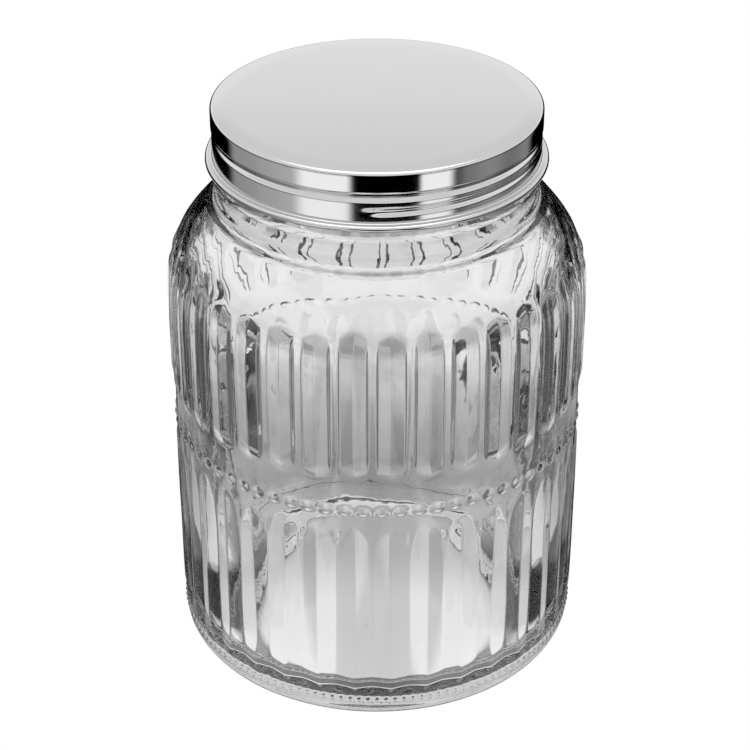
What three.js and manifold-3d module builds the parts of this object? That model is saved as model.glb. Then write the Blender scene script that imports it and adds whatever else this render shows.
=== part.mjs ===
// A pressed-glass storage jar with a polished steel screw lid.
// Millimetres, +Z up, origin at the centre of the base. Rib crests lie at every RIB_STEP from the
// front (-Y), and the lid is drawn screwed down onto the jar's rim.
import * as THREE from "three";
import { mergeVertices } from "three/addons/utils/BufferGeometryUtils.js";
import Module from "manifold-3d";

const wasm = await Module();
wasm.setup();

// Driving dimensions of the whole.
const LID_R = 55; // plain band of the lid: a 110 mm wide-mouth closure
const TOTAL_H = 202.5;
const BODY_R = 71; // plain glass between the ribs
const GAP = 0.3; // clearance between lid and glass

// Glass, from the floor up.
const FOOT_R_IN = 60; // inner edge of the ring that the jar stands on
const PUSH_UP = 2; // hollow under the base
const HEEL_R = 7; // rounding from the foot to the wall
const WALL = 4;
const FLOOR_Z = 9;
const FLOOR_CROWN = 1; // the floor rises a little in the middle
const INNER_HEEL_R = 9;
const BEAD_Z = 87.8;
const BEAD_HALF_H = 2.3;
const BEAD_RISE = 1;
const SHOULDER = {
  z: 130,
  pull: [0, 26], // how far the curve leaves the wall straight up
  lean: [-3.1, -15.5], // how far it meets the neck along the slope, seen from the wall and from the neck
  foot: [55.1, 170.5], // where it meets the neck
};
const NECK_R = 54.4;
const NECK_FILLET_Z = 173;
const FINISH_R = 52.6; // plain lip that the lid screws over
const FINISH_Z = 180.5; // where the neck steps in under the lid
const STEP_H = 1;
const LIP_R_IN = 49.5;
const LIP_ROUND = 1; // bevel of the lip

// Ribs. Each stands proud of the plain glass, with a rounded end above and below.
const RIBS = 36;
const RIB_STEP = (2 * Math.PI) / RIBS;
const COLUMNS_PER_RIB = 4;
const LOWER_RIBS = { from: 13, to: 74.5, foot: 1.5, cap: 7, ramp: 3, rise: 0.8, sharpness: 1.3 };
const UPPER_RIBS = { from: 104.5, to: 146, foot: 5.5, cap: 6.5, ramp: 3, rise: 1.0, sharpness: 2.6 };

// Steel lid, in heights measured down from its flat top.
const SHEET = 0.5;
const LID_CORNER_R = 1.3;
const BAND_DROP = 6.4; // bottom edge of the plain band
const GROOVE_DEPTH = 0.9;
const GROOVE_DROP = 8.1; // middle of the groove under the band
const SKIRT_TOP_DROP = 10;
const SKIRT_R = 54.8;
const CURL_DROP = 18.6; // middle of the rolled edge
const CURL_R = 1.1;
const CURL_OUT_R = 57.2;
const LID_COLUMNS = 72;
const SKIRT_ROWS = 6;
const THREAD = { start: -4, turn: 300, drop: 15.2, pitch: 5, depth: 0.9, halfWidth: 1.6, fade: 25 };

const clamp01 = (x) => Math.min(1, Math.max(0, x));
const smooth = (x) => clamp01(x) ** 2 * (3 - 2 * clamp01(x));

// Points of an arc about (cr, cz), from one angle to another in degrees, ends included.
function arc(cr, cz, radius, from, to, steps) {
  return Array.from({ length: steps + 1 }, (_, i) => {
    const a = THREE.MathUtils.degToRad(from + ((to - from) * i) / steps);
    return [cr + radius * Math.cos(a), cz + radius * Math.sin(a)];
  });
}

const toVectors = (points) => points.map(([r, z]) => new THREE.Vector2(r, z));

// A turned form whose height runs along Z and whose first column faces the front.
function turned(points, columns) {
  const shape = new THREE.LatheGeometry(toVectors(points), columns);
  return shape.rotateX(Math.PI / 2);
}

// Moves each vertex off the axis outwards by what rise(angle, z, r) gives, in millimetres.
function relieved(shape, rise) {
  const at = shape.getAttribute("position");
  for (let i = 0; i < at.count; i++) {
    const x = at.getX(i);
    const y = at.getY(i);
    const r = Math.hypot(x, y);
    if (r < 1) continue;
    const k = 1 + rise(Math.atan2(x, -y), at.getZ(i), r) / r;
    at.setXY(i, x * k, y * k);
  }
  return shape;
}

function solidOf(shape) {
  const bare = shape.index ? shape.toNonIndexed() : shape.clone();
  bare.deleteAttribute("normal");
  bare.deleteAttribute("uv");
  const merged = mergeVertices(bare, 1e-4);
  const vertProperties = new Float32Array(merged.getAttribute("position").array);
  const triVerts = new Uint32Array(merged.index.array);
  return new wasm.Manifold(new wasm.Mesh({ numProp: 3, vertProperties, triVerts }));
}

function meshOf(solid, name, material) {
  const { vertProperties, triVerts } = solid.getMesh();
  const shape = new THREE.BufferGeometry();
  shape.setAttribute("position", new THREE.BufferAttribute(vertProperties, 3));
  shape.setIndex(new THREE.BufferAttribute(triVerts, 1));
  shape.computeVertexNormals();
  const mesh = new THREE.Mesh(shape, material);
  mesh.name = name;
  return mesh;
}

// How far a rib of the given band stands out at an angle and a height. The ends are round
// because the rib reaches furthest at its crest and not at all in the valley.
function ribRise(band, angle, z) {
  const turns = angle / RIB_STEP;
  const aside = 2 * Math.abs(turns - Math.round(turns)); // 0 on the crest, 1 in the valley
  const section = 1 - aside ** band.sharpness;
  const reach = Math.sqrt(Math.max(0, 1 - aside * aside));
  const above = smooth((band.to + band.cap * reach - z) / band.ramp);
  const below = smooth((z - band.from + band.foot * reach) / band.ramp);
  return band.rise * section * above * below;
}

// Two beads stand over each rib, a quarter of a step to either side of its crest.
function beadRise(angle, z) {
  const steps = (2 * angle) / RIB_STEP - 0.5;
  const aside = Math.abs(steps - Math.round(steps)) * 2;
  const up = Math.abs(z - BEAD_Z) / BEAD_HALF_H;
  return BEAD_RISE * Math.max(0, 1 - Math.hypot(aside / 0.9, up));
}

function shoulderPoints(inset, steps) {
  const { z, pull, lean, foot } = SHOULDER;
  const curve = new THREE.CubicBezierCurve(
    new THREE.Vector2(BODY_R - inset, z),
    new THREE.Vector2(BODY_R - inset + pull[0], z + pull[1]),
    new THREE.Vector2(BODY_R - inset + lean[0], foot[1] + lean[1]),
    new THREE.Vector2(foot[0] - inset, foot[1]),
  );
  return curve.getPoints(steps).map((p) => [p.x, p.y]);
}

function outerGlass() {
  const lipZ = TOTAL_H - SHEET - GAP;
  const lower = LOWER_RIBS;
  const upper = UPPER_RIBS;
  const rows = [
    lower.from - lower.foot + lower.ramp,
    lower.to,
    lower.to + lower.cap / 2,
    lower.to + lower.cap,
    BEAD_Z - BEAD_HALF_H,
    BEAD_Z,
    BEAD_Z + BEAD_HALF_H,
    upper.from - upper.foot,
    upper.from + upper.ramp / 2,
  ];
  const profile = [
    [0, PUSH_UP],
    [FOOT_R_IN - PUSH_UP, PUSH_UP],
    [FOOT_R_IN, 0],
    ...arc(BODY_R - HEEL_R, HEEL_R, HEEL_R, -90, 0, 3),
    ...rows.map((z) => [BODY_R, z]),
    ...shoulderPoints(0, 8),
    [NECK_R, NECK_FILLET_Z],
    [NECK_R, FINISH_Z],
    [FINISH_R, FINISH_Z + STEP_H],
    [FINISH_R, lipZ - LIP_ROUND],
    [FINISH_R - LIP_ROUND, lipZ],
    [0, lipZ],
  ];
  return relieved(turned(profile, RIBS * COLUMNS_PER_RIB), (angle, z, r) => {
    if (r < BODY_R - HEEL_R) return 0;
    return ribRise(lower, angle, z) + beadRise(angle, z) + ribRise(upper, angle, z);
  });
}

function innerHollow() {
  const inner = BODY_R - WALL;
  const top = TOTAL_H;
  const profile = [
    [0, FLOOR_Z + FLOOR_CROWN],
    [inner - INNER_HEEL_R, FLOOR_Z],
    ...arc(inner - INNER_HEEL_R, FLOOR_Z + INNER_HEEL_R, INNER_HEEL_R, -60, 0, 2),
    ...shoulderPoints(WALL, 6),
    [LIP_R_IN, NECK_FILLET_Z],
    [LIP_R_IN, top],
    [0, top],
  ];
  return turned(profile, RIBS);
}

function makeJar() {
  const glass = new THREE.MeshStandardMaterial({ color: 0xe9eeee, roughness: 0.02, metalness: 0 });
  const solid = solidOf(outerGlass()).subtract(solidOf(innerHollow()));
  return meshOf(solid, "jar", glass);
}

// The screw thread is rolled into the skirt from outside: it starts low near the front and
// climbs as it goes round, fading in and out at its two ends.
function threadSink(angle, z) {
  const along = THREE.MathUtils.euclideanModulo(THREE.MathUtils.radToDeg(angle) - THREAD.start, 360);
  const ends = smooth(along / THREAD.fade) * smooth((THREAD.turn - along) / THREAD.fade);
  const middle = TOTAL_H - THREAD.drop + (THREAD.pitch * along) / 360;
  const off = (z - middle) / THREAD.halfWidth;
  return -THREAD.depth * ends * Math.exp(-off * off);
}

function lidProfile() {
  const top = TOTAL_H;
  const curlZ = top - CURL_DROP;
  const curlR = CURL_OUT_R - CURL_R;
  const skirtStep = (CURL_DROP - 2 * CURL_R - SKIRT_TOP_DROP) / (SKIRT_ROWS - 1);
  const skirtDrops = Array.from({ length: SKIRT_ROWS }, (_, i) => SKIRT_TOP_DROP + i * skirtStep);
  const outside = [
    [0, top],
    ...arc(LID_R - LID_CORNER_R, top - LID_CORNER_R, LID_CORNER_R, 90, 0, 3),
    [LID_R, top - BAND_DROP],
    [LID_R - GROOVE_DEPTH, top - GROOVE_DROP],
    ...skirtDrops.map((drop) => [SKIRT_R, top - drop]),
    ...arc(curlR, curlZ, CURL_R, 90, -180, 6),
  ];
  const inside = [
    [SKIRT_R - SHEET, curlZ],
    ...skirtDrops.toReversed().map((drop) => [SKIRT_R - SHEET, top - drop]),
    [LID_R - GROOVE_DEPTH - SHEET, top - GROOVE_DROP],
    [LID_R - SHEET, top - BAND_DROP],
    [LID_R - SHEET, top - LID_CORNER_R],
    [LID_R - LID_CORNER_R, top - SHEET],
    [0, top - SHEET],
  ];
  return [...outside, ...inside].toReversed();
}

function makeLid() {
  const steel = new THREE.MeshStandardMaterial({ color: 0xc9cbcc, roughness: 0.08, metalness: 1 });
  const skirtTop = TOTAL_H - SKIRT_TOP_DROP;
  const curlTop = TOTAL_H - CURL_DROP + CURL_R;
  const shape = relieved(turned(lidProfile(), LID_COLUMNS), (angle, z, r) => {
    if (z > skirtTop || z < curlTop || r > SKIRT_R + 1e-3) return 0;
    return threadSink(angle, z);
  });
  return meshOf(solidOf(shape), "lid", steel);
}

const root = new THREE.Group();
root.add(makeJar(), makeLid());

export default root;
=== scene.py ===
# %% [markdown]
# A pressed-glass storage jar with a polished steel screw lid.
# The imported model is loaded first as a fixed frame: it says how large everything is and where it
# stands. Two pieces are made here, the glass and the lid, and each takes the place of a plain solid.
# Sizes are in millimetres, and MM turns them into Blender's metres.

# %% Load the frame
import math

import bmesh
import bpy
from mathutils import Matrix, Vector, noise


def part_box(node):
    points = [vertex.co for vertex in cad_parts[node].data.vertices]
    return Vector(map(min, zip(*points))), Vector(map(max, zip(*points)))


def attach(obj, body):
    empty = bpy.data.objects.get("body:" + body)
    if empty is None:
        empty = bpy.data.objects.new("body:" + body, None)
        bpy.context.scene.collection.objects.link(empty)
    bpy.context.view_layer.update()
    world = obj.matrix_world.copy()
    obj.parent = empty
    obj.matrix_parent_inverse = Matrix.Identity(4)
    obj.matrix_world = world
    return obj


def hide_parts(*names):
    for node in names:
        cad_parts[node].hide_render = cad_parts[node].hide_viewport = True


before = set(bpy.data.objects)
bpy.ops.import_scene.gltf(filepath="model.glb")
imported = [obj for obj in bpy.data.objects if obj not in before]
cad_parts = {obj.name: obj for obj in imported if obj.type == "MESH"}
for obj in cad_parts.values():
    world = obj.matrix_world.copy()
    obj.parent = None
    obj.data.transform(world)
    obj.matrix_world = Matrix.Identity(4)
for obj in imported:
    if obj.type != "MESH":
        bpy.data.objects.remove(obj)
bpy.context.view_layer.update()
MM = 0.001
jar_low, jar_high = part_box("jar")
lid_low, lid_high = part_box("lid")
print("jar", [round((high - low) / MM, 1) for low, high in zip(jar_low, jar_high)], "mm")
print("lid", [round((high - low) / MM, 1) for low, high in zip(lid_low, lid_high)], "mm")

# %% [markdown]
# The jar is shaped in a ribbed mould. Ribs repeat every ten degrees, in a lower and an upper band,
# and the wall wanders a little, as pressed glass does. The jar's reach in the frame is the crest of
# an upper rib, so the plain wall lies that rise and half that wander inside it. A band's rise is how
# far its crests stand over the plain wall, and the valleys between them lie a little inside it.

# %% Ribs and plain wall
RIBS = 36
RIB_STEP = 2 * math.pi / RIBS
LOWER = dict(start=12.0, end=75.5, foot=1.5, cap=7.0, ramp=5.0, rise=0.6)
UPPER = dict(start=104.5, end=147.0, foot=5.5, cap=6.5, ramp=7.0, rise=1.0)
UNEVEN = 0.12
BODY_R = jar_high[0] / MM - UPPER["rise"] - UNEVEN / 2
print(RIBS, "ribs on a plain wall of radius", round(BODY_R, 2), "mm")

# %% [markdown]
# Jar and lid are turned forms, so each starts as half of its cut face: a row of points from the
# axis out and back. A curve with a Screw modifier would also do, but points worked out in code can
# lie close together where the relief changes and far apart where the wall is straight.


# %% Helpers for outlines
def spread(a, b, step):
    """Heights or distances from a to b, both kept, no further apart than step."""
    count = max(1, math.ceil(abs(b - a) / step))
    return [a + (b - a) * i / count for i in range(count + 1)]


def arc(centre_r, centre_z, radius, start, end, step=9):
    """Points of a round corner, angles in degrees from the outward direction."""
    return [(centre_r + radius * math.cos(math.radians(a)), centre_z + radius * math.sin(math.radians(a)))
            for a in spread(start, end, step)]


def bezier(points, count):
    """A curve with two end points and two pulling points between them."""
    out = []
    for i in range(count + 1):
        t = i / count
        weights = ((1 - t) ** 3, 3 * t * (1 - t) ** 2, 3 * t * t * (1 - t), t ** 3)
        out.append(tuple(sum(w * p[k] for w, p in zip(weights, points)) for k in (0, 1)))
    return out


print("a quarter round takes", len(arc(0, 0, 1, 0, 90)), "points")

# %% [markdown]
# The outside of the glass starts in the middle of the base, which is hollow by two millimetres,
# and runs over the foot ring, round the heel and up the wall. ROWS names each stretch of the wall,
# the height where it ends and how far apart its rings lie: close under small marks and beads, far
# apart where a rib runs straight.

# %% Outline of base and wall
PUSH_UP = 2.0
FOOT_IN_R = 60.0
HEEL_R = 7.0
SHOULDER_Z = 130.0
FLAT_STEP = 12
ROWS = {"foot marks": (14, 0.6), "lower ribs": (LOWER["end"] - 3, 7), "their ends": (84, 1),
        "beads": (91.6, 0.42), "plain band": (97, 2), "rib feet": (109, 1), "upper ribs": (SHOULDER_Z, 6)}

outside = [(r, PUSH_UP) for r in spread(0, FOOT_IN_R - PUSH_UP, FLAT_STEP)]
outside += [(FOOT_IN_R, 0.0)]
outside += arc(BODY_R - HEEL_R, HEEL_R, HEEL_R, start=-90, end=0, step=6)
ring_z = HEEL_R
for end_z, step in ROWS.values():
    outside += [(BODY_R, z) for z in spread(ring_z, end_z, step)[1:]]
    ring_z = end_z
print(len(outside), "points up to the shoulder at", ring_z, "mm")

# %% [markdown]
# The shoulder is one smooth curve with two pulling points, because an arc would be too round for
# it. A short curve leads into the neck, which carries a fine ring and steps in under the lid.

# %% Outline of shoulder, neck and lip
SHOULDER = [(BODY_R, SHOULDER_Z), (BODY_R, 156.0), (BODY_R - 3.1, 155.0), (55.1, 170.5)]
NECK_R = 54.4
NECK_CURVE = [SHOULDER[3], (NECK_R + 0.1, 171.2), (NECK_R, 172.0), (NECK_R, 174.0)]
NECK_RING_Z = 178.3
RING_OUT = 0.12
RING_IN = 0.1
RING_BELOW = 0.7
RING_ABOVE = 0.5
FINISH_Z = 180.5
FINISH_R = 52.6
FINISH_STEP = 1
LIP_Z = jar_high[2] / MM
LIP_BEVEL = 1

outside += bezier(SHOULDER, count=28)[1:]
outside += bezier(NECK_CURVE, count=5)[1:]
outside += [(NECK_R, z) for z in spread(NECK_CURVE[3][1], NECK_RING_Z - RING_BELOW, step=2)[1:]]
outside += [(NECK_R + RING_OUT, NECK_RING_Z), (NECK_R - RING_IN, NECK_RING_Z + RING_ABOVE)]
outside += [(NECK_R - RING_IN, FINISH_Z), (FINISH_R, FINISH_Z + FINISH_STEP)]
outside += [(FINISH_R, LIP_Z - LIP_BEVEL), (FINISH_R - LIP_BEVEL, LIP_Z)]
print(len(outside), "points outside, lip at", round(LIP_Z, 2), "mm")

# %% [markdown]
# The inside comes down again from the lip to the floor, a wall's thickness inside the outer
# curves. A Solidify modifier could make the wall, but then every rib would show inside too, and
# a jar pressed over a plunger is smooth there. So the inside is an outline of its own, with far
# fewer points.

# %% Outline of the inside
WALL = 4.0
LIP_R_IN = 49.5
BORE_START = LIP_Z - 6
BORE_END = 182
INNER_NECK = [(LIP_R_IN, 180.0), (LIP_R_IN, 175.0), (LIP_R_IN + 0.3, 171.0), (54.5, 168.0)]
INNER_HEEL_R = 9.0
FLOOR_Z = 9.0
FLOOR_CROWN = 1.0

inner_r = BODY_R - WALL
inner_heel_z = FLOOR_Z + INNER_HEEL_R
inside = [(LIP_R_IN + LIP_BEVEL, LIP_Z), (LIP_R_IN, LIP_Z - LIP_BEVEL)]
inside += [(LIP_R_IN, z) for z in spread(BORE_START, BORE_END, step=3)]
inside += bezier(INNER_NECK, count=10)
inside += [(r - WALL, z) for r, z in reversed(bezier(SHOULDER, count=22)) if z < INNER_NECK[3][1] - 1]
inside += [(inner_r, z) for z in spread(SHOULDER_Z, inner_heel_z, step=5)[1:-1]]
inside += arc(inner_r - INNER_HEEL_R, inner_heel_z, INNER_HEEL_R, start=0, end=-84)
floor_r = inside[-1][0]
inside += [(r, FLOOR_Z + FLOOR_CROWN * (1 - r / floor_r)) for r in spread(floor_r, 0, FLAT_STEP)[1:]]
print(len(inside), "points inside")

# %% [markdown]
# The spin operator turns an outline into a skin round the axis. One full spin would be simpler,
# but here one rib's width is spun in fine steps and that slice is then copied round, so that all
# ribs have the same columns of vertices under them.

# %% Spin both faces of the glass
COLUMNS_PER_RIB = 16
DOUBLE = 0.002


def spin_outline(bm, outline, columns):
    """Turns an outline in millimetres once round the axis and returns its new vertices."""
    known = set(bm.verts)
    chain = [bm.verts.new((0.0, -r * MM, z * MM)) for r, z in outline]
    edges = [bm.edges.new(pair) for pair in zip(chain, chain[1:])]
    bmesh.ops.spin(bm, geom=chain + edges, axis=(0, 0, 1), angle=RIB_STEP, steps=columns)
    fresh = [v for v in bm.verts if v not in known]
    slice_faces = list(dict.fromkeys(f for v in fresh for f in v.link_faces))
    slice_edges = list(dict.fromkeys(e for v in fresh for e in v.link_edges))
    bmesh.ops.spin(bm, geom=fresh + slice_edges + slice_faces, axis=(0, 0, 1),
                   angle=RIB_STEP * (RIBS - 1), steps=RIBS - 1, use_duplicate=True)
    fresh = [v for v in bm.verts if v not in known]
    bmesh.ops.remove_doubles(bm, verts=fresh, dist=DOUBLE * MM)
    return [v for v in bm.verts if v not in known]


jar_form = bmesh.new()
outer = spin_outline(jar_form, outside, COLUMNS_PER_RIB)
inner = spin_outline(jar_form, inside, COLUMNS_PER_RIB // 2)
print(len(outer), "vertices outside,", len(inner), "inside")

# %% [markdown]
# An upper rib has a steep step on each side, too narrow for evenly spaced columns. More columns
# everywhere would make the mesh heavy, so the ones there are get drawn together at the crest and
# at the step. The lower ribs are plain roofs and keep even columns.

# %% Gather the columns of the upper ribs
COLUMN_PLACES = [0.0, 0.08, 0.35, 0.62, 0.70, 0.745, 0.79, 0.88, 1.0]
GATHER_FROM = ROWS["plain band"][0]
GATHER_OVER = 8


def smooth_step(x):
    """Rises softly from 0 to 1 as x does."""
    x = min(1.0, max(0.0, x))
    return x * x * (3 - 2 * x)


def gather(v):
    """Turns a vertex round the axis to its column's wanted place between crest and valley."""
    angle = math.atan2(v.co.x, -v.co.y)
    turns = angle / RIB_STEP
    middle = round(turns)
    aside = 2 * abs(turns - middle)
    share = smooth_step((v.co.z / MM - GATHER_FROM) / GATHER_OVER)
    wanted = COLUMN_PLACES[round(aside * COLUMNS_PER_RIB / 2)]
    moved = math.copysign(aside + (wanted - aside) * share, turns - middle)
    turn = Matrix.Rotation((middle + moved / 2) * RIB_STEP - angle, 3, "Z")
    v.co = turn @ v.co


upper_part = [v for v in outer if v.co.z > GATHER_FROM * MM]
for v in upper_part:
    gather(v)
print(len(upper_part), "vertices gathered above", GATHER_FROM, "mm")

# %% [markdown]
# A rib is a low roof: a soft crest, flat flanks down to the valley, and a round end above and
# below. Ribs made as pieces of their own would leave seams inside the glass, where light catches.
# So a rib is a height over the plain wall, read from a section and from how far up it reaches.

# %% Relief of the ribs
LOWER_SECTION = [(0.0, 1.0), (0.05, 0.93), (0.95, -0.93), (1.0, -1.0)]
UPPER_SECTION = [(0.0, 1.0), (0.08, 0.95), (0.62, 0.53), (0.70, 0.44), (0.79, -0.18), (1.0, -0.24)]
RIB_UNEVEN = 1.2
RIB_APART = 1.7


def along(section, aside):
    """Height of a rib's section, 1 on the crest, read between its corner points."""
    for (a0, h0), (a1, h1) in zip(section, section[1:]):
        if aside <= a1:
            return h0 + (h1 - h0) * (aside - a0) / (a1 - a0)
    return section[-1][1]


def rib_rise(band, section, turns, z):
    """turns counts ribs round the jar: a whole number is a crest, a half is a valley.
    Each rib ends a little higher or lower than the next, by up to RIB_UNEVEN millimetres, and
    RIB_APART reads the noise for neighbours so far apart that they are unlike."""
    aside = 2 * abs(turns - round(turns))
    z += RIB_UNEVEN * noise.noise((round(turns) * RIB_APART, band["end"], 0.0))
    reach = math.sqrt(max(0.0, 1 - aside * aside))
    above = smooth_step((band["end"] + band["cap"] * reach - z) / band["ramp"])
    below = smooth_step((z - band["start"] + band["foot"] * reach) / band["ramp"])
    return band["rise"] * along(section, aside) * above * below


for place, band, section in (("lower", LOWER, LOWER_SECTION), ("upper", UPPER, UPPER_SECTION)):
    height = band["rise"] * (section[0][1] - section[-1][1])
    print(place, "ribs stand", round(height, 2), "mm over their valleys")

# %% [markdown]
# A row of small beads runs round the plain band, two over each rib. Spheres joined on would also
# leave seams, so a bead is a little dome in the same height map.

# %% Relief of the beads
BEADS_PER_RIB = 2
BEAD_Z = 87.8
BEAD_R = 2.25
BEAD_RISE = 0.7
DOME_FLANK = 1.3


def dome(across, up, half_width, half_height):
    """A round dome of height 1 over an oval, with soft flanks."""
    far = min(1.0, math.hypot(across / half_width, up / half_height))
    return (1 - far * far) ** DOME_FLANK


def off_middle(angle, per_rib):
    """Millimetres round the wall to the middle of the nearest of so many marks on each rib."""
    steps = per_rib * angle / RIB_STEP - 0.5
    return (steps - round(steps)) * RIB_STEP / per_rib * BODY_R


def bead_rise(angle, z):
    return BEAD_RISE * dome(off_middle(angle, BEADS_PER_RIB), z - BEAD_Z, BEAD_R, BEAD_R)


print(BEADS_PER_RIB * RIBS, "beads", 2 * BEAD_R, "mm wide")

# %% [markdown]
# Round the foot runs a ring of small slanted knurls, such as glass makers put there against
# scratches, and under it the fine line where two parts of the mould met. Both are under half a
# millimetre deep. A bump in the material would only hint at them and would be lost in the mesh
# itself, so both are real shape.

# %% Marks round the foot
KNURLS_PER_RIB = 4
KNURL_Z = 8.9
KNURL_W = 1.9
KNURL_H = 2.6
KNURL_RISE = 0.45
KNURL_SLANT = 0.3
CREASE_Z = 6.2
CREASE_HALF = 0.7
CREASE_DEPTH = 0.45


def knurl_rise(angle, z):
    across = off_middle(angle, KNURLS_PER_RIB) - KNURL_SLANT * (z - KNURL_Z)
    return KNURL_RISE * dome(across, z - KNURL_Z, KNURL_W / 2, KNURL_H / 2)


def crease_rise(z):
    """A groove with straight sides, so its height is never above 0."""
    return -CREASE_DEPTH * (1 - min(1.0, abs(z - CREASE_Z) / CREASE_HALF))


print(KNURLS_PER_RIB * RIBS, "knurls", KNURL_H, "mm high")

# %% [markdown]
# Pressed glass is never quite even: its faces wander by up to a quarter of a millimetre, and
# that is what makes the lines seen through it wavy. Noise read at a vertex's own place gives a
# slow wander that is the same on every run. The shoulder carries a finer one too, and the middle
# of the base and the floor stay even.

# %% Unevenness of both faces
OUTER_WAVE_W = 22
FINE_WAVE_W = 8
FINE_WAVE_H = 0.10
EVEN_BASE_R = 50
INNER_WAVE_W = 20
INNER_WAVE_H = 0.25
EVEN_FLOOR_Z = 20
EVEN_FADE = 20


def wander(v, width, height):
    """A slow unevenness of that height, with bumps about width millimetres wide."""
    return height * noise.noise(v.co / (width * MM))


def outer_wobble(v):
    wobble = 0.0
    if math.hypot(v.co.x, v.co.y) > EVEN_BASE_R * MM:
        wobble = wander(v, OUTER_WAVE_W, UNEVEN)
    if UPPER["end"] * MM < v.co.z < SHOULDER[3][1] * MM:
        wobble += wander(v, FINE_WAVE_W, FINE_WAVE_H)
    return wobble


def inner_wobble(v):
    if v.co.z >= NECK_RING_Z * MM:
        return 0.0
    return smooth_step((v.co.z / MM - EVEN_FLOOR_Z) / EVEN_FADE) * wander(v, INNER_WAVE_W, INNER_WAVE_H)


print("the inside wanders most, by up to", INNER_WAVE_H, "mm")

# %% [markdown]
# Now every vertex is pushed straight out from the axis by the sum of these heights. A Displace
# modifier with a texture could do it too, but code can count the ribs and the beads exactly.


# %% Push the relief out
def push_out(v, rise):
    """Moves a vertex straight out from the axis by rise millimetres."""
    r = math.hypot(v.co.x, v.co.y)
    if r > MM:
        v.co.x *= 1 + rise * MM / r
        v.co.y *= 1 + rise * MM / r


def outer_rise(v):
    angle = math.atan2(v.co.x, -v.co.y)
    z = v.co.z / MM
    turns = angle / RIB_STEP
    rise = rib_rise(LOWER, LOWER_SECTION, turns, z) + rib_rise(UPPER, UPPER_SECTION, turns, z)
    return rise + bead_rise(angle, z) + knurl_rise(angle, z) + crease_rise(z)


for v in outer:
    push_out(v, outer_rise(v) + outer_wobble(v))
for v in inner:
    push_out(v, inner_wobble(v))
print("widest at", round(max(v.co.x for v in outer) / MM, 2), "mm from the axis")

# %% [markdown]
# A bridge joins the two open edges at the lip, so the glass is one closed body with a real wall.
# That matters: light must bend on its way in and again on its way out, which a single skin can't
# do. The normals are made to point out before the mesh is handed over.

# %% Close the glass
NEAR = 0.01


def lip_edges(verts):
    """The ring of open edges at the height of the lip."""
    pool = dict.fromkeys(e for v in verts for e in v.link_edges)
    return [e for e in pool if e.is_boundary and abs(e.verts[0].co.z - LIP_Z * MM) < NEAR * MM]


def to_object(bm, name):
    """Turns a bmesh into a smooth object in the scene."""
    mesh = bpy.data.meshes.new(name)
    bm.to_mesh(mesh)
    bm.free()
    mesh.shade_smooth()
    piece = bpy.data.objects.new(name, mesh)
    bpy.context.scene.collection.objects.link(piece)
    print(name, sum(len(f.vertices) - 2 for f in mesh.polygons), "triangles")
    return piece


bmesh.ops.bridge_loops(jar_form, edges=lip_edges(outer) + lip_edges(inner))
bmesh.ops.recalc_face_normals(jar_form, faces=jar_form.faces)
print("open edges", sum(not e.is_manifold for e in jar_form.edges))
glass_jar = to_object(jar_form, "glass_jar")
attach(glass_jar, "root")
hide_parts("jar")

# %% [markdown]
# The lid is one sheet of steel, pressed and rolled: a flat disc, a plain band, a groove under it,
# a skirt and a rolled edge. The groove could be drawn with arcs, but a cosine dip gives its soft
# shoulders in one line, and the thread uses it again. Depths are measured down from the flat top,
# where the lid's maker would put the ruler.

# %% Side of the lid
LID_TOP = lid_high[2] / MM
LID_REACH = lid_high[0] / MM
LID_R = 55.0
LID_CORNER = 1.3
BAND_DROP = 6.6
GROOVE_DROP = 8.7
GROOVE_HALF = 1.95
GROOVE_DEPTH = 1.0
SKIRT_R = 54.8
CURL_R = 1.1
CURL_DROP = 18.6


def dip(drop, middle, half_width):
    """1 in the middle of a rolled groove, falling softly to 0 beside it."""
    aside = min(1.0, abs(drop - middle) / half_width)
    return 0.5 + 0.5 * math.cos(math.pi * aside)


def wall_r(drop):
    """Outer radius of the lid's side at a depth below its top."""
    plain = LID_R if drop < GROOVE_DROP else SKIRT_R
    return plain - GROOVE_DEPTH * dip(drop, GROOVE_DROP, GROOVE_HALF)


side = spread(LID_CORNER, BAND_DROP, step=1.2)[:-1]
side += spread(BAND_DROP, CURL_DROP - CURL_R, step=0.25)
print("the groove's bottom has a radius of", round(wall_r(GROOVE_DROP), 2), "mm")

# %% [markdown]
# The sheet has the same form on both sides, so its outline is walked once along the outside, round
# the rolled edge and back along the inside. A single skin with a Solidify modifier would do for the
# flat parts, but not for the edge, where the sheet is rolled into a bead.

# %% Outline of the lid
SHEET = 0.5
TOP_STEP = 6

lid_outline = [(r, LID_TOP) for r in spread(0, LID_R - LID_CORNER, TOP_STEP)[:-1]]
lid_outline += arc(LID_R - LID_CORNER, LID_TOP - LID_CORNER, LID_CORNER, start=90, end=0, step=15)[:-1]
lid_outline += [(wall_r(drop), LID_TOP - drop) for drop in side]
lid_outline += arc(LID_REACH - CURL_R, LID_TOP - CURL_DROP, CURL_R, start=115, end=-180, step=15)
lid_outline += [(SKIRT_R - SHEET, LID_TOP - CURL_DROP)]
lid_outline += [(wall_r(drop) - SHEET, LID_TOP - drop) for drop in reversed(side)]
lid_outline += [(LID_R - LID_CORNER, LID_TOP - SHEET), (0.0, LID_TOP - SHEET)]
print(len(lid_outline), "points round the sheet")

# %% [markdown]
# The screw thread is a groove rolled into the skirt from outside. It starts low near the front,
# climbs as it goes round and fades at both ends. A helix cut with a Boolean would leave hard
# edges, so the thread is pressed in by moving the skirt's vertices, as the real roller does. It
# stops at SKIRT_END, where the rolled edge begins.

# %% Lid
LID_COLUMNS = 8
THREAD = dict(start=-10, turn=262, drop=13.8, pitch=4.5, depth=0.8, half_width=1.9, fade=9)
SKIRT_END = CURL_DROP - CURL_R * 0.8


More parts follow.
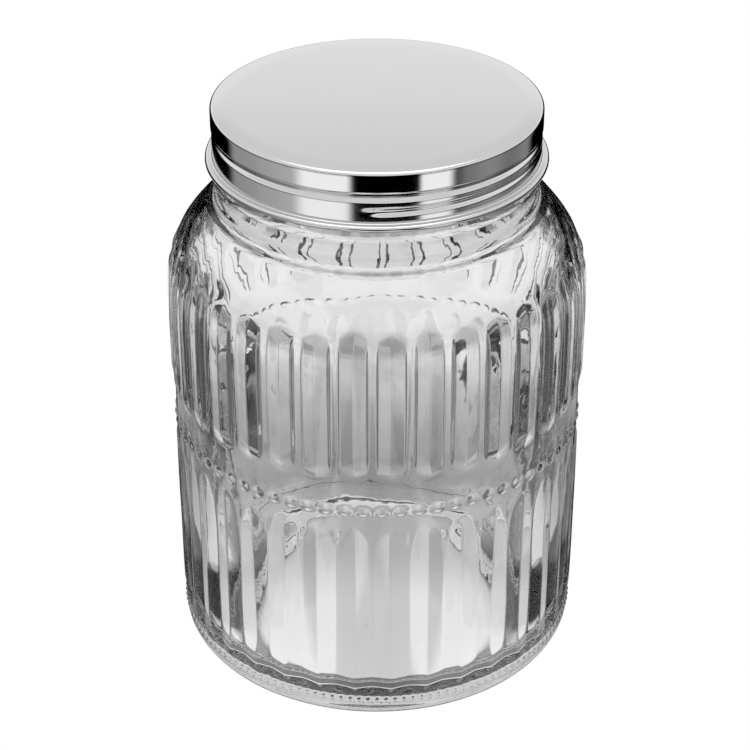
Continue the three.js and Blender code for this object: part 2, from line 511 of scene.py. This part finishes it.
def thread_rise(v):
    angle = math.degrees(math.atan2(v.co.x, -v.co.y))
    along = (angle - THREAD["start"]) % 360
    ends = smooth_step(along / THREAD["fade"]) * smooth_step((THREAD["turn"] - along) / THREAD["fade"])
    middle = THREAD["drop"] - THREAD["pitch"] * along / 360
    return -THREAD["depth"] * ends * dip(LID_TOP - v.co.z / MM, middle, THREAD["half_width"])


def on_skirt(v):
    drop = LID_TOP - v.co.z / MM
    return GROOVE_DROP < drop < SKIRT_END and math.hypot(v.co.x, v.co.y) / MM < SKIRT_R + NEAR


lid_form = bmesh.new()
skirt = [v for v in spin_outline(lid_form, lid_outline, LID_COLUMNS) if on_skirt(v)]
for v in skirt:
    push_out(v, thread_rise(v))
bmesh.ops.recalc_face_normals(lid_form, faces=lid_form.faces)
print(len(skirt), "vertices on the skirt")
steel_lid = to_object(lid_form, "steel_lid")
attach(steel_lid, "root")
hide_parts("lid")

# %% [markdown]
# Finishes are patterns of numbers, and sums written as Python read better than nodes placed one
# by one. A small class holds a socket and turns each operator into the Math node that does it.


# %% Shader helper
class Wire:
    """A value in a node tree: an output socket, with the operators that the finishes use."""

    def __init__(self, tree, socket=None):
        self.tree = tree
        self.socket = socket

    def node(self, kind, inputs=(), out=0, **settings):
        """Adds a node, sets its settings first and then its sockets, and returns one output."""
        made = self.tree.nodes.new(kind)
        for name, value in settings.items():
            setattr(made, name, value)
        for key, value in dict(inputs).items():
            if isinstance(value, Wire):
                value.feed(made.inputs[key])
            else:
                made.inputs[key].default_value = value
        return Wire(self.tree, made.outputs[out])

    def feed(self, socket):
        """Links this value to the input socket of a node."""
        self.tree.links.new(self.socket, socket)

    def maths(self, operation, a, b):
        return self.node("ShaderNodeMath", {0: a, 1: b}, operation=operation)

    def __add__(self, other):
        return self.maths("ADD", self, other)

    def __mul__(self, other):
        return self.maths("MULTIPLY", self, other)

    def __sub__(self, other):
        return self.maths("SUBTRACT", self, other)

    def __rsub__(self, other):
        return self.maths("SUBTRACT", other, self)

    def __abs__(self):
        return self.maths("ABSOLUTE", self, 0.0)

    __radd__ = __add__
    __rmul__ = __mul__


def new_material(name, constants):
    """A material whose shader has these constants, and a Wire that reads the place on the piece."""
    material = bpy.data.materials.new(name)
    material.use_nodes = True
    shader = material.node_tree.nodes["Principled BSDF"]
    for socket, value in constants.items():
        shader.inputs[socket].default_value = value
    print(name, constants)
    return material, shader, Wire(material.node_tree).node("ShaderNodeTexCoord", out="Object")


# %% [markdown]
# Clear glass lets light through and bends it by an index of 1.52. A mix of transparent and glossy
# would render faster, but only true refraction draws the dark and bright lines beside the ribs.
# The body of the glass also swallows a little light, so long ways through it, at the outline and
# in the foot, come out grey. A faint drag in the surface keeps reflections from being perfect.

# %% Glass finish
GLASS = {"Transmission Weight": 1.0, "IOR": 1.52, "Base Color": (0.95, 0.95, 0.95, 1)}
SWALLOWED = {"Color": (0.0, 0.0, 0.0, 1), "Density": 10.0}
DRAG = {"Scale": 120.0, "Detail": 2.0}
DRAG_ROUGH = 0.012
DRAG_BUMP = {"Strength": 0.12, "Distance": 0.0004}


def glass_finish():
    material, shader, at = new_material("clear_glass", GLASS)
    depth = at.node("ShaderNodeVolumeAbsorption", SWALLOWED)
    depth.feed(at.tree.nodes["Material Output"].inputs["Volume"])
    drag = at.node("ShaderNodeTexNoise", {"Vector": at, **DRAG})
    (drag * DRAG_ROUGH).feed(shader.inputs["Roughness"])
    bump = at.node("ShaderNodeBump", {"Height": drag, **DRAG_BUMP}, out="Normal")
    bump.feed(shader.inputs["Normal"])
    return material


glass_jar.data.materials.append(glass_finish())

# %% [markdown]
# The lid is polished steel, so it is a metal with little roughness. A plain mirror would be too
# clean: the sheet is faintly hazy in patches, and duller on the skirt, where the thread was rolled,
# than on the band. What changes with height is a curve through a few named stops. A colour ramp
# could hold them too, but a curve in code is easier to read, and the lights below use it again.

# %% Steel finish
STEEL = {"Metallic": 1.0, "Base Color": (0.64, 0.64, 0.645, 1)}
HAZE = {"Scale": 60.0, "Detail": 4.0}
HAZE_ROUGH = 0.05
ROLLED = [(11.5, 0.10), (9.5, 0.05)]


def curve(value, stops):
    """A smooth curve through stops of (value, height), read at that value."""
    total = stops[0][1]
    for (v0, h0), (v1, h1) in zip(stops, stops[1:]):
        reach = {"Value": value, "From Min": v0, "From Max": v1, "To Min": 0.0, "To Max": h1 - h0}
        total = value.node("ShaderNodeMapRange", reach, interpolation_type="SMOOTHSTEP") + total
    return total


def steel_finish():
    material, shader, at = new_material("polished_steel", STEEL)
    haze = at.node("ShaderNodeTexNoise", {"Vector": at, **HAZE})
    height = at.node("ShaderNodeSeparateXYZ", {0: at}, out="Z")
    rolled = curve(height, [((LID_TOP - drop) * MM, rough) for drop, rough in ROLLED])
    (haze * HAZE_ROUGH + rolled).feed(shader.inputs["Roughness"])
    return material


steel_lid.data.materials.append(steel_finish())

# %% [markdown]
# The camera stands three quarters of a metre away, a little to the left, and looks down by 31
# degrees, as the photo does. Its lens is worked out from the photo's size in pixels, and a small
# shift puts the jar's axis where the photo has it.

# %% Camera
PHOTO_SIDE = 750
FOCAL_PX = 2143.8
AXIS_PX = 376.94
PITCH = math.radians(30.91)
TURN = math.radians(-3.81)
DISTANCE = 757.7 * MM
AIM = Vector((0, 0, 97.6 * MM))

camera_data = bpy.data.cameras.new("camera")
camera_data.sensor_width = 36.0
camera_data.lens = FOCAL_PX / PHOTO_SIDE * camera_data.sensor_width
camera_data.shift_x = (PHOTO_SIDE / 2 - AXIS_PX) / PHOTO_SIDE
camera_data.clip_start = 0.01
camera = bpy.data.objects.new("camera", camera_data)
bpy.context.scene.collection.objects.link(camera)
away = Vector((math.sin(TURN) * math.cos(PITCH), -math.cos(TURN) * math.cos(PITCH), math.sin(PITCH)))
camera.location = AIM + DISTANCE * away
camera.rotation_euler = (-away).to_track_quat("-Z", "Y").to_euler()
bpy.context.scene.camera = camera
bpy.context.view_layer.update()
print("lens", round(camera_data.lens, 1), "mm, camera at", [round(c, 3) for c in camera.location], "m")

# %% [markdown]
# Clear glass and polished steel show nothing but their surroundings, so those are the most
# important light. Lamps alone would leave the steel black and the glass empty. The camera sees a
# plain pale floor, while glass and steel see a second surface just under it: a glowing table.
# Each panel is a flat grid. The floor is seen by the camera alone, and the others by all but it.


# %% Floor
def glow_material(name, strength):
    """A black surface that glows evenly in white."""
    return new_material(name, {"Base Color": (0, 0, 0, 1), "Specular IOR Level": 0.0,
                               "Emission Color": (1, 1, 1, 1), "Emission Strength": strength})


def panel(name, centre, width, depth, material, seen=False):
    """A flat stage panel, seen either by the camera alone or by everything but the camera."""
    bm = bmesh.new()
    bmesh.ops.create_grid(bm, x_segments=1, y_segments=1, size=0.5)
    bmesh.ops.scale(bm, vec=(width, depth, 1), verts=bm.verts)
    piece = to_object(bm, name)
    piece.data.materials.append(material)
    piece.location = centre
    piece.visible_camera = seen
    piece.visible_transmission = piece.visible_glossy = piece.visible_diffuse = not seen
    return piece


TABLE_SIDE = 8
panel("floor", (0, 0, 0), TABLE_SIDE, TABLE_SIDE, glow_material("pale_floor", 1.0)[0], seen=True)

# %% [markdown]
# Close to the jar the table glows in a lane that runs past it, away from the camera. Each list
# holds stops of a place in metres and a brightness or share there. LANE runs along the lane, from
# in front of the jar to behind it, and dims under the jar and just behind it: painted shade where
# the jar's shadow falls. LANE_SIDE runs across it: bright, then a dark band of painted shade beside
# the jar, then bright again, and SPREAD widens the lane behind the jar. LANE_MOST caps it. MIDDLE_SHADE
# is a darker line of painted shade down its middle, and SHADOW a painted shadow, a dark ring round
# the foot where it stands on the table. Both fade behind the jar.

# %% Near light on the table
# LANE's dip under and behind the jar is painted shade where the jar's shadow falls.
LANE = [(-0.06, 0.88), (-0.01, 0.80), (0.03, 0.52), (0.045, 0.48), (0.06, 0.40), (0.085, 0.27),
        (0.105, 0.34), (0.14, 0.42), (0.19, 0.80), (0.25, 0.90), (0.32, 0.80)]
SPREAD = [(0.15, 1.0), (0.26, 0.25)]
# The dark stretch of LANE_SIDE beside the jar is painted shade.
LANE_SIDE = [(0.018, 1.25), (0.074, 1.20), (0.082, 0.0), (0.114, 0.0), (0.122, 0.95), (0.190, 0.95),
             (0.212, 0.15)]
LANE_MOST = 1.05
# A darker line of painted shade down the middle of the lane.
MIDDLE_SHADE = [(0.013, 0.33), (0.020, 0.0)]
MIDDLE_SHADE_BACK = [(0.13, 1.0), (0.17, 0.4)]
# A painted shadow: a dark ring round the jar's foot on the table.
SHADOW = [(0.055, 0.0), (0.059, 0.8), (0.075, 0.8), (0.082, 0.0)]
SHADOW_BACK = [(0.02, 1.0), (0.05, 0.0)]


def near_glow(x, y, away):
    """x runs to the right, y away from the camera, and away is the distance from the jar's axis."""
    aside = abs(x) * curve(y, SPREAD)
    # Painted shadow round the jar's foot.
    foot_shadow = 1 - curve(away, SHADOW) * curve(y, SHADOW_BACK)
    # Painted shade: a darker line down the middle of the lane.
    stripe_shade = 1 - curve(aside, MIDDLE_SHADE) * curve(y, MIDDLE_SHADE_BACK)
    lane = curve(y, LANE) * curve(aside, LANE_SIDE) * stripe_shade
    return lane.maths("MINIMUM", lane, LANE_MOST) * foot_shadow


print("the lane is", round((LANE[-1][0] - LANE[0][0]) / MM), "mm long")

# %% [markdown]
# Further out the table changes by direction instead, in fields like cards laid round the jar. This
# is what the lid's band shows as upright bars. FAR goes by the heading in degrees, 0 towards the
# camera and 90 to its right, and FAR_START and FAR_END say at which distance the fields begin
# and how they change. WEDGE is one more bright field, straight behind the jar.

# %% Far light on the table
FAR = [(-118, 0.0), (-107, 0.38), (-90, 0.42), (-78, 0.50), (-58, 0.58), (-46, 1.3), (-20, 1.3),
       (-14, 0.0), (26, 0.0), (30, 1.3), (46, 1.3), (53, 0.12), (62, 0.26), (78, 0.34), (98, 0.23),
       (117, 0.30), (128, 0.0)]
FAR_START = [(0.33, 0.0), (0.37, 1.0)]
FAR_END = [(0.60, 1.0), (0.70, 0.12), (0.90, 0.12), (1.0, 1.0), (2.6, 0.9), (3.4, 0.0)]
WEDGE = [(164, 0.0), (172, 0.80)]
WEDGE_END = [(1.2, 1.0), (1.6, 0.0)]


def far_glow(x, y, away):
    heading = x.maths("ARCTAN2", x, y * -1.0) * math.degrees(1)
    fields = curve(heading, FAR) * curve(away, FAR_END)
    return fields + curve(abs(heading), WEDGE) * curve(away, WEDGE_END)


print("the fields begin", round(FAR_START[0][0] / MM), "mm from the jar's axis")

# %% [markdown]
# Both patterns go into the glow of one plane. A share of the far light, 0 near the jar and 1 beyond,
# fades one into the other. Separate lamps for every field would be brighter in some places than
# others, while a painted plane keeps each grey just as it is named.

# %% Table
TABLE_Z = -0.0005


def table_light():
    """The glow of the whole table: near the jar the lane, further out the fields."""
    material, shader, at = glow_material("table_glow", 1.0)
    x, y = (at.node("ShaderNodeSeparateXYZ", {0: at}, out=axis) for axis in "XY")
    away = at.node("ShaderNodeVectorMath", {0: at}, out="Value", operation="LENGTH")
    outer_share = curve(away, FAR_START)
    glow = near_glow(x, y, away) * (1 - outer_share) + far_glow(x, y, away) * outer_share
    colour = at.node("ShaderNodeCombineXYZ", {0: glow, 1: glow, 2: glow})
    colour.feed(shader.inputs["Emission Color"])
    return material


table = panel("table", (0, 0, TABLE_Z), TABLE_SIDE, TABLE_SIDE, table_light())
table.rotation_euler.z = TURN

# %% [markdown]
# A soft light overhead fills the lid's flat top, and a pale sky stands all round, dark only at the
# horizon. The table and this light are laid out for the photo's view, turned by the camera's few
# degrees, and they stand still when the camera moves. SKY holds stops of height and strength, with
# height 0 at the horizon and 1 straight up.

# %% Soft light and sky
TOP_LIGHT = dict(centre=(0, -0.1, 0.95), width=0.9, depth=0.7)
SKY = [(0.04, 0.0), (0.20, 1.1), (0.37, 1.08), (0.44, 0.88), (0.8, 0.95), (1.0, 1.5)]

top_light = panel("top_light", material=glow_material("soft_light", 2.0)[0], **TOP_LIGHT)
top_light.parent = table

world = bpy.data.worlds.new("studio")
world.use_nodes = True
backdrop = world.node_tree.nodes["Background"]
backdrop.inputs["Color"].default_value = (1, 1, 1, 1)
heavens = Wire(world.node_tree).node("ShaderNodeTexCoord", out="Generated")
elevation = heavens.node("ShaderNodeSeparateXYZ", {0: heavens}, out="Z")
curve(elevation, SKY).feed(backdrop.inputs["Strength"])
bpy.context.scene.world = world
print("the sky's strength runs up to", SKY[-1][1], "overhead")

# %% [markdown]
# A ray in thick ribbed glass is mirrored many times before it leaves. With Blender's usual limits
# it would end in the wall and leave black speckles, so it may bounce more often here. The plain
# Standard view keeps the greys as they are worked out.

# %% Bounces and view
BOUNCES = 24
bpy.context.scene.cycles.max_bounces = BOUNCES
bpy.context.scene.cycles.transmission_bounces = BOUNCES
bpy.context.scene.cycles.glossy_bounces = BOUNCES
bpy.context.scene.view_settings.view_transform = "Standard"
print("a ray may bounce", BOUNCES, "times")
